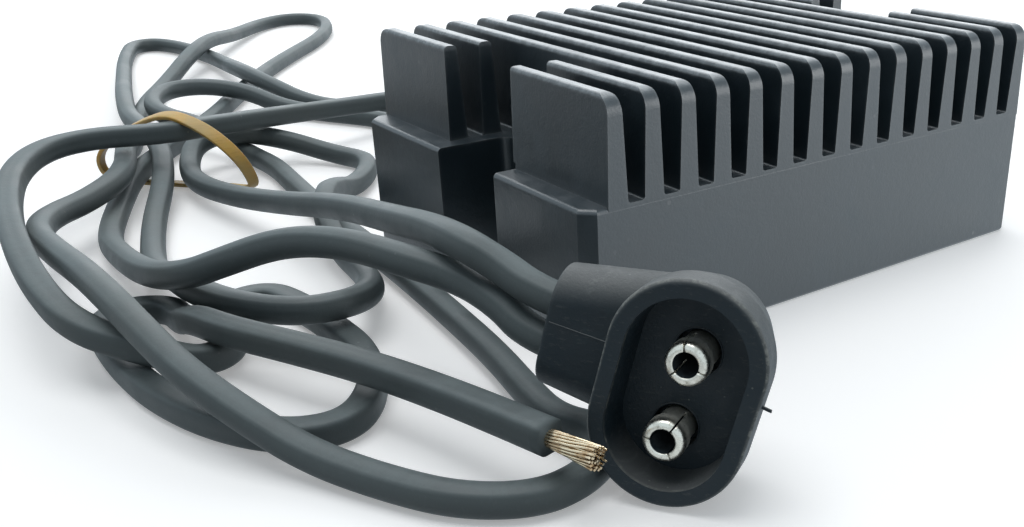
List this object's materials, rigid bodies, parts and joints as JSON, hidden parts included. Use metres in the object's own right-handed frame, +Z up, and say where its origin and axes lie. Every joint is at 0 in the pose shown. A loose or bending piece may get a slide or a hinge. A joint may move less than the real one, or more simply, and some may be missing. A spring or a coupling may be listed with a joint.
{
  "type": "alternator rectifier",
  "caption": "Finned black rectifier and regulator block with open mounting slots, potted electronics below, leads tied by a rubber band, and an elbow plug.",
  "frame": {"origin": "centre of the heatsink's foot, on the surface that it stands on", "axes": "+X across the fins, towards the side away from the plug; +Y along the fins, towards the wall that the leads leave; +Z up"},
  "size_m": [0.1723, 0.3905, 0.0407],
  "materials": {
    "cast_finish": "satin black coat on a casting",
    "potting": "hard black fill",
    "board": "green laminate",
    "package": "black moulded package",
    "insulator": "grey insulating sheet",
    "steel": "zinc plated steel",
    "capacitor_sleeve": "dark sleeve",
    "resistor_body": "tan coating",
    "zener_body": "black moulding",
    "terminal": "tinned copper tabs",
    "bush_rubber": "black rubber",
    "lead_sheath": "matt dark grey sheath",
    "strand": "bare bronze-coloured strands",
    "plug_shell": "matt black moulding",
    "pin_plate": "bright tin plate",
    "band_rubber": "tan rubber"
  },
  "bodies": {
    "root": {"heatsink": "cast_finish", "potting_compound": "potting", "circuit_board": "board", "scr_a": "package", "scr_b": "package", "diode_a": "package", "diode_b": "package", "insulator_pads": "insulator", "clamp_bar": "steel", "clamp_screws": "steel", "capacitor": "capacitor_sleeve", "control_transistors": "package", "resistors": "resistor_body", "zener_diode": "zener_body", "lead_terminals": "terminal", "lead_grommet": "bush_rubber", "plug_housing": "plug_shell", "plug_pin_a": "pin_plate", "plug_pin_b": "pin_plate", "plug_lead_a": "lead_sheath", "plug_lead_b": "lead_sheath", "output_lead": "lead_sheath", "output_strands": "strand", "lead_band": "band_rubber"}
  },
  "joints": []
}
